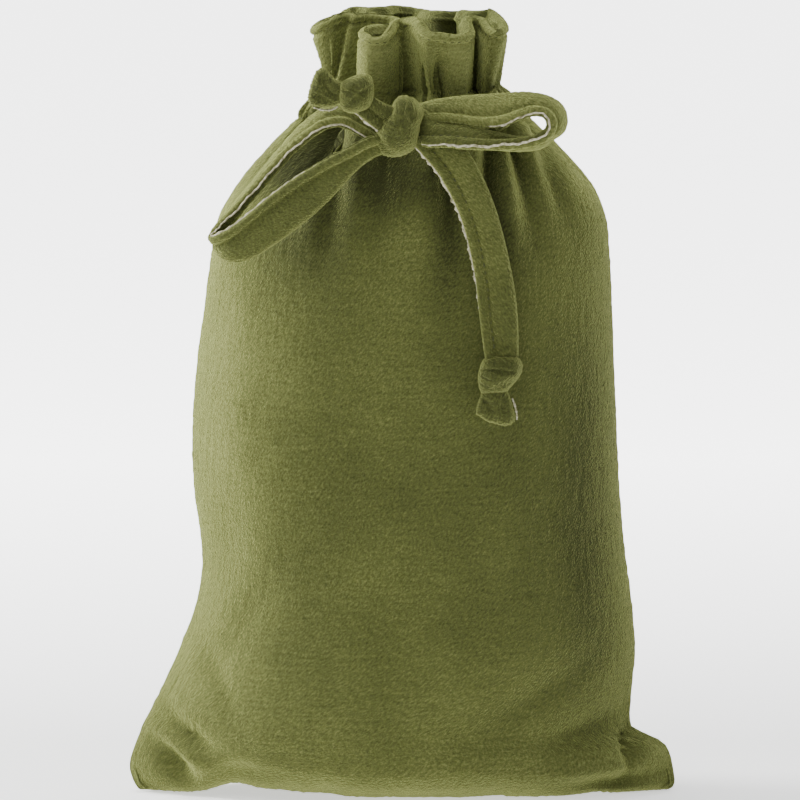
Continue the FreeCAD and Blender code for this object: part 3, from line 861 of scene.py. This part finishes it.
rightLoopRaw = [
    (0, -47, 245), (8.3, -51.4, 244.6), (16, -53.6, 245), (23, -54.2, 244.5), (31.6, -54.2, 244.6),
    (40, -54, 245.4), (47, -53.6, 246.6), (51.6, -53.2, 249.4), (52.6, -52.8, 253),
    (50.4, -52.4, 255.8), (46, -51.8, 256.2), (41, -51, 254.2), (35.5, -49.8, 251.8), (28, -48, 251),
    (14, -46, 252.4), (2, -44, 252),
]
rightLoopFold = [
    (1, -38.6, 250), (9.4, -40.2, 251), (17, -41.8, 250.6), (24.4, -42.2, 248.6), (33, -41.8, 246),
    (42.4, -41.2, 244), (50, -40.6, 244.4), (55.6, -40.4, 247.6), (58, -40.2, 252.4),
    (56.2, -40, 257.8), (50, -40, 261), (42.4, -39.8, 262), (35, -39.6, 261.8), (27, -39, 261.4),
    (13.4, -37.6, 259.8), (3, -36.4, 257),
]
rightTailRaw = [
    (-2, -43.5, 250.5), (4, -48.2, 243.6), (13, -50.6, 233), (20.7, -50.9, 217.4),
    (25.2, -50.7, 199.4), (26.8, -50.6, 186), (28.8, -50.5, 170), (30.2, -50.5, 163),
]
rightTailFold = [
    (8, -41, 256.5), (18, -46.4, 248), (26.4, -49.2, 237), (33.6, -50, 220), (38.6, -49.8, 200),
    (40.9, -49.7, 185), (41.5, -49.6, 168.5), (40, -49.8, 161.5),
]
leftTailRaw = [
    (-6, -48.6, 247.6), (-10.6, -50.6, 250.6), (-14.8, -51.6, 254), (-18.4, -51.6, 257.2),
    (-21, -51.6, 260),
]
leftTailFold = [
    (2, -47, 256), (-4.4, -49.8, 258.6), (-10, -50.6, 261.4), (-13.6, -51, 264.6), (-17, -51.2, 267),
]

# For each stretch: its two edge lines, fullness and painted light and shade from start to end, wrinkles
# as (share of the run, half length, depth, face), how much its inner face is painted darker as shade,
# where the cut edge shows and how far it stands out, and a join: a piece with one is not put on a body,
# and the join's body and two ends are not used.
ribbonPieces = {
    "left_loop": {
        "edges": (leftLoopRaw, leftLoopFold),
        "rows": 150,
        "puffs": (0.9, 0.95, 0.9, 0.85, 0.9, 1.05, 1.1, 1.0, 0.9),
        "wrinkles": ((0.12, 2.4, 0.8, 1), (0.5, 3, 1.0, 1), (0.47, 2, 0.8, -1), (0.86, 2.6, 0.7, 1)),
        "lightAndShade": (-0.1, 0.1, 0.14, 0.12, 0.1, -0.04, -0.11, -0.14, -0.08, -0.04),
        "innerShade": -0.34,
        "edgeRange": (0.06, 0.95),
        "showing": (0.7, 1, 1, 1, 1, 1, 0.9, 0.75, 0.6, 0.3, 0.1),
        "join": ("sack", (-0.006, -0.046, 0.246), (-0.017, -0.046, 0.246)),
        "held": "folded",
    },
    "right_loop": {
        "edges": (rightLoopRaw, rightLoopFold),
        "rows": 140,
        "puffs": (0.9, 1.4, 1.45, 1.1, 0.9, 0.95, 1.1, 1.15, 1.0, 0.85),
        "wrinkles": ((0.5, 3, 1.0, 1), (0.46, 2.4, 0.9, -1), (0.15, 3, 0.7, 1), (0.8, 2.5, 0.6, 1)),
        "lightAndShade": (-0.1, 0, 0.05, 0.05, 0.1, 0.12, 0.18, 0.18, 0.1, 0),
        "innerShade": -0.14,
        "edgeRange": (0.06, 0.94),
        "showing": (0.5, 1.2, 1.3, 1.2, 1, 1, 1, 0.1, 0),
        "join": ("sack", (0.003, -0.046, 0.247), (0.014, -0.046, 0.247)),
        "held": "folded",
    },
    "right_tail": {
        "edges": (rightTailRaw, rightTailFold),
        "rows": 110,
        "puffs": (0.85, 0.95, 1.0, 1.0, 1.0, 0.95, 0.8),
        "wrinkles": ((0.3, 3, 0.5, 1), (0.62, 4, 0.4, 1), (0.9, 2.5, 0.8, 1)),
        "lightAndShade": (-0.1, -0.02, -0.06, -0.1, -0.1),
        "innerShade": 0,
        "edgeRange": (0.07, 0.96),
        "showing": (0.9, 1, 1, 1, 0.9, 0.5, 0.5),
        "join": ("sack", (0.016, -0.047, 0.239), (0.026, -0.049, 0.226)),
        "held": "hung",
    },
    "left_tail": {
        "edges": (leftTailRaw, leftTailFold),
        "rows": 44,
        "puffs": (0.85, 0.95, 0.95, 0.8),
        "wrinkles": (),
        "lightAndShade": (-0.22, -0.25, -0.25),
        "innerShade": 0,
        "edgeRange": (0.12, 0.95),
        "showing": (1, 1, 0.8),
        "join": None,
        "held": "folded",
    },
}
for name, piece in ribbonPieces.items():
    lines, rows, puffs, span = piece["edges"], piece["rows"], piece["puffs"], piece["edgeRange"]
    strip, run = makeRibbon(
        name + "_strip", *lines, puffs, rows, piece["wrinkles"], piece["lightAndShade"], piece["innerShade"]
    )
    edging = makeRawEdge(name + "_edging", *lines, rows * 2, *span, piece["showing"])
    dress(strip, plush, name, (name + "_ribbon",), piece["join"])
    dress(edging, backing, name, (name + "_raw_edge",), piece["join"])
    if name != "left_tail":
        seam = ribbonStitches(name + "_stitches", *lines, puffs, rows, *span)
        dress(seam, thread, name, (name + "_thread",), piece["join"])
    round(run * unit, 3)
    print("stage:", name, "ribbon", round(run, 1), "mm long")


# how far each point of (x, z) lies from a drawn line, and where along it, 0 to 1
def fromLine(x, z, line):
    best = np.full(x.shape, 1e9)
    where = np.zeros(x.shape)
    line = splineEven(np.c_[np.array(line, float), np.zeros(len(line))], 40)[:, :2]
    for index, (px, pz) in enumerate(line):
        away = np.hypot(x - px, z - pz)
        where = np.where(away < best, index / 39, where)
        best = np.minimum(best, away)
    return best, where


# a closed plump form: its outline as seen from the front is drawn, and its depth swells from that outline
# like a cushion's, y = middle -+ depth * sqrt(1 - share ** power).
# Creases are lines pressed into the front: (line, half width, depth), negative for a ridge.
def makePillow(name, outline, middle, frontDepth, backDepth, creases, plump=2.4, frayed=0.0, shade=-0.22):
    sides, rings = 220, 46
    edge = splineEven(np.c_[np.array(outline, float), np.zeros(len(outline))], sides, closed=True)[:, :2]
    centre = edge.mean(axis=0)
    turn = np.linspace(0, 2 * np.pi, sides, endpoint=False)
    fuzz = np.sin(31 * turn + 2 * np.sin(7 * turn)) + 0.5 * np.sin(53 * turn + 3 * np.sin(5 * turn))
    edge = edge + (edge - centre) / 8 * (0.08 + frayed) * fuzz[:, None]
    level = np.linspace(0, np.pi, rings + 2)[1:-1]
    share = np.sin(level) ** 0.72
    flat = centre + (edge[:, None] - centre) * share[None, :, None]
    fill = np.clip(1 - share**plump, 0, 1) ** 0.5
    isFront = np.cos(level) > 0
    y = np.where(isFront, -frontDepth, backDepth)[None, :] * fill[None, :] + np.zeros((sides, 1))
    x, z = flat[..., 0], flat[..., 1]
    ripple = 0.12 * np.sin(2.9 * x + 1.7 * z) * np.sin(2.3 * z - 1.1 * x)
    # painted shade: the whole form is painted darker, its creases darker still and its ridges lighter
    tone = np.full(x.shape, shade)
    for line, width, depth in creases:
        away, where = fromLine(x, z, line)
        fade = np.sin(np.pi * np.clip(0.12 + 0.76 * where, 0, 1)) ** 0.6
        dent = depth * bell(away, 0, width) * fade
        y = y + dent * isFront[None, :]
        tone = tone - 0.07 * dent * isFront[None, :]
    y = y + ripple * fill[None, :] + middle
    ring = np.stack([x, y, z], -1)
    ends = []
    for index, sign in ((0, -1), (-1, 1)):
        ends.append([centre[0], ring[:, index, 1].mean(), centre[1]])
    vertices = np.concatenate([ring.reshape(-1, 3), ends])
    faces = gridQuads(sides, rings, closedFirst=True).tolist()
    for index in range(sides):
        after = (index + 1) % sides
        faces.append([sides * rings, index * rings, after * rings])
        faces.append([sides * rings + 1, after * rings + rings - 1, index * rings + rings - 1])
    cloth = np.stack([vertices[:, 0] + vertices[:, 1], vertices[:, 2] - 0.5 * vertices[:, 1]], -1)
    item = makeObject(name, vertices, faces, cloth * unit)
    paint(item, np.concatenate([tone.reshape(-1), [0, 0]]))
    return item


bowOutline = [
    (-1, 262.2), (2.6, 261.6), (5.6, 259.4), (7.2, 256.6), (6.8, 254), (5.9, 251.6), (5.4, 248),
    (4.9, 244.6), (2, 241.4), (-3, 239.8), (-7.4, 240.4), (-9.8, 242.6), (-10.2, 246.6),
    (-10, 249.8), (-8.4, 253.6), (-5.2, 257.4), (-3.2, 260.6),
]
bowKnot = makePillow(
    "bow_wrap", bowOutline, -46.4, 9.6, 9.4,
    [([(4.8, 251.6), (2.8, 253.8), (1.6, 256.4), (1.4, 259)], 1.2, 0.9),
     ([(-2.6, 259.4), (-5.6, 254.8), (-8.6, 250.6)], 1.2, 0.6),
     ([(-5, 250), (-3, 246), (-2.4, 242.6)], 1.6, 0.5),
     ([(-8.6, 246.6), (-6.8, 243.4), (-4, 241.6)], 1.3, 0.8)],
)
dress(bowKnot, knotPlush, "sack", ("bow_knot",))
rightOutline = [
    (29, 166.8), (32, 167.6), (35.5, 167.8), (39, 167.7), (41.8, 166.8), (43, 164.2), (42.2, 160.8),
    (39.6, 157.4), (36.8, 154.6), (32.5, 153.8), (29, 153.7), (27.4, 155.4), (26.7, 159.6),
    (27.4, 163.6),
]
rightKnot = makePillow(
    "right_end_ball", rightOutline, -50.4, 6.4, 5.6,
    [([(27.4, 162.6), (30.5, 163.2), (34.5, 163), (39, 162.6)], 1.0, 1.3),
     ([(30, 155.6), (34, 157), (39.4, 159.6)], 1.5, 0.7),
     ([(31.6, 161), (33, 158.6), (33.4, 156)], 1.4, -0.4)],
)
dress(rightKnot, knotPlush, "right_tail", ("right_end_knot",))
leftOutline = [
    (-23.4, 266.6), (-21.4, 268.2), (-18, 269.8), (-14.4, 270.6), (-12, 269.6), (-11, 266.6),
    (-11, 262), (-12.4, 258.6), (-15.6, 256.6), (-19.6, 256.2), (-22.6, 258), (-23.6, 262),
]
leftKnot = makePillow(
    "left_end_ball", leftOutline, -51.4, 6.3, 5.6,
    [([(-13, 265.6), (-16.6, 263.2), (-20, 259.4)], 1.2, 1.1),
     ([(-22, 264.6), (-19.4, 264.4), (-17, 266.6)], 1.1, 0.9)],
)
dress(leftKnot, knotPlush, "left_tail", ("left_end_knot",))

# past each end knot the strip's cut end spreads out, its pile standing along the cut
rightStubOutline = [
    (29, 156), (33, 157), (36.9, 155.8), (38.6, 152.2), (39.7, 148.4), (40.3, 145.4), (39.5, 143.4),
    (36.9, 142.2), (33.4, 142.9), (30.2, 143.8), (27.8, 145.4), (26, 147), (26.7, 150.4),
    (27.7, 153.4),
]
leftStubOutline = [
    (-33.2, 268.4), (-31.6, 271.6), (-29.2, 272.6), (-27, 270.8), (-24.6, 268.4), (-21.6, 266.6),
    (-21.2, 261.6), (-24, 259.4), (-28, 258.4), (-32.6, 258.6), (-34.8, 260.6), (-34.4, 264.4),
]
stubs = (
    ("right_end_strip", "right_tail", "right_tail_end", rightStubOutline,
     [([(29, 153), (31, 149.4), (31.6, 145.4)], 1.5, 0.8),
      ([(36.6, 154), (36, 150), (36.6, 146)], 1.6, 0.6)],
     [(39.2, 152.4), (40.2, 149.6), (40.9, 146.4), (40.9, 144.6)]),
    ("left_end_strip", "left_tail", "left_tail_end", leftStubOutline,
     [([(-29.4, 269), (-27.6, 265), (-24.4, 262.6)], 1.3, 1.1),
      ([(-32.6, 262.6), (-29.6, 262), (-26.4, 260.6)], 1.4, 0.7)],
     [(-32.6, 258.2), (-29.6, 257.4), (-26.4, 257.4), (-24, 258.6)]),
)
cutEnd = {
    "middle": -50.6,
    "line": -51.4,
    "rows": 60,
    "sides": 8,
    "radius": 0.45,
    "flat": 0.8,
    "deep": 2.2,
}
for name, body, node, outline, creases, cut in stubs:
    stub = makePillow(name, outline, cutEnd["middle"], 3.6, 3.2, creases, 4.0, 0.10)
    dress(stub, knotPlush, body, (node,))
    rows, sides = cutEnd["rows"], cutEnd["sides"]
    line = splineEven([(x, cutEnd["line"], z) for x, z in cut], rows)
    step = np.arange(rows)
    radius = cutEnd["radius"] + 0.14 * np.sin(step * 0.9) + 0.10 * np.sin(step * 0.37 + 1)
    radius = radius * np.sin(np.pi * np.linspace(0.04, 0.96, rows)) ** 0.3
    turn = np.linspace(0, 2 * np.pi, sides, endpoint=False)[None, :, None]
    travel = unitVectors(np.gradient(line, axis=0))
    inY = np.array([0, 1.0, 0])
    ring = np.cross(travel, inY)[:, None] * np.cos(turn) * cutEnd["flat"]
    ring = ring + inY * np.sin(turn) * cutEnd["deep"]
    rope = line[:, None] + ring * radius[:, None, None]
    edging = makeObject(name + "_edging", rope.reshape(-1, 3), tubeFaces(rows, sides))
    dress(edging, backing, body)
print("stage: knots made")

# the drawstring where it lies in its channel, a flat ring just inside the gathered cloth
neck = {"inset": 4.6, "half": 1.1, "low": 251.6, "middle": 255.5, "high": 259.4}
row = int(np.argmin(np.abs(heights[0, :bodyRows] - neck["middle"])))
inside = unitVectors(normal[::4, row, :2])
ring = blurRound(surface[::4, row, :2] - inside * neck["inset"], 0.004)
level = 0 * ring[:, 0]
away = gridNormals(np.stack([np.c_[ring, level], np.c_[ring, level + 1]], 1), True)[:, 0, :2]
low, high = neck["low"], neck["high"]
band = []
for height, offset in ((low, 0), (low + 1, 1), (high - 1, 1), (high, 0), (high - 1, -1), (low + 1, -1)):
    flat = ring + away * (offset * neck["half"])
    band.append(np.c_[flat, np.full(len(flat), height)])
band = np.stack(band, axis=1)
around = np.repeat(np.linspace(0, 0.25, len(ring)), 6)
across = np.tile(np.linspace(0, 0.02, 6), len(ring))
neckRibbon = makeObject(
    "neck_ring", band.reshape(-1, 3), gridQuads(len(ring), 6, True, True).tolist(),
    np.stack([around, across], -1),
)
dress(neckRibbon, plush, "sack", ("neck_ribbon",))


view = {"tilt": 7.0, "away": 3.5, "target": (-0.0015, 0, 0.1455), "lens": 428.0}
tilt = np.radians(view["tilt"])
forward = Vector((0, float(np.cos(tilt)), float(-np.sin(tilt))))
camera = bpy.data.cameras.new("camera")
camera.lens = view["lens"]
camera.sensor_width = 36
camera.clip_end = 50
eye = bpy.data.objects.new("camera", camera)
eye.location = Vector(view["target"]) - forward * view["away"]
eye.rotation_euler = forward.to_track_quat("-Z", "Y").to_euler()
bpy.context.scene.collection.objects.link(eye)
bpy.context.scene.camera = eye

bpy.ops.mesh.primitive_plane_add(size=12, location=(0, 0, -0.0002))
floor = bpy.context.object
floor.name = "floor"
floorLook, tree, shader = newMaterial("pale glowing floor", 0.8)
shader.inputs["Base Color"].default_value = (0.86, 0.86, 0.85, 1)
# the floor glows: painted light, faint near the sack and bright far behind it, so the floor reads white
# and lights the sack from below and behind
shader.inputs["Emission Strength"].default_value = 4.2
maker = Wire(tree, None)
place = maker.node("ShaderNodeTexCoord", output="Object")
behind = maker.node("ShaderNodeSeparateXYZ", output="Y", inputs={"Vector": place})
glow = maker.node(
    "ShaderNodeValToRGB",
    inputs={0: behind},
    stops=[(0.12, (0.22, 0.22, 0.22, 1)), (0.95, (1, 1, 1, 1))],
)
tree.links.new(glow.socket, shader.inputs["Emission Color"])
floor.data.materials.append(floorLook)


def areaLight(name, place, aim, size, power):
    lamp = bpy.data.lights.new(name, "AREA")
    lamp.energy = power
    lamp.size = size
    item = bpy.data.objects.new(name, lamp)
    item.location = place
    item.rotation_euler = (Vector(aim) - Vector(place)).to_track_quat("-Z", "Y").to_euler()
    bpy.context.scene.collection.objects.link(item)


areaLight("left", (-1.35, 0.35, 0.75), (0, 0, 0.15), 0.55, 46)
areaLight("right", (1.1, 1.0, 0.5), (0, 0, 0.15), 0.4, 4)
areaLight("front", (-0.5, -1.8, 1.5), (0, 0, 0.15), 0.9, 11)
areaLight("top", (-0.2, 0.1, 1.5), (0, 0, 0.14), 0.6, 17)
world = bpy.data.worlds.new("studio")
world.use_nodes = True
world.node_tree.nodes["Background"].inputs["Color"].default_value = (0.96, 0.97, 1, 1)
world.node_tree.nodes["Background"].inputs["Strength"].default_value = 0.31
bpy.context.scene.world = world
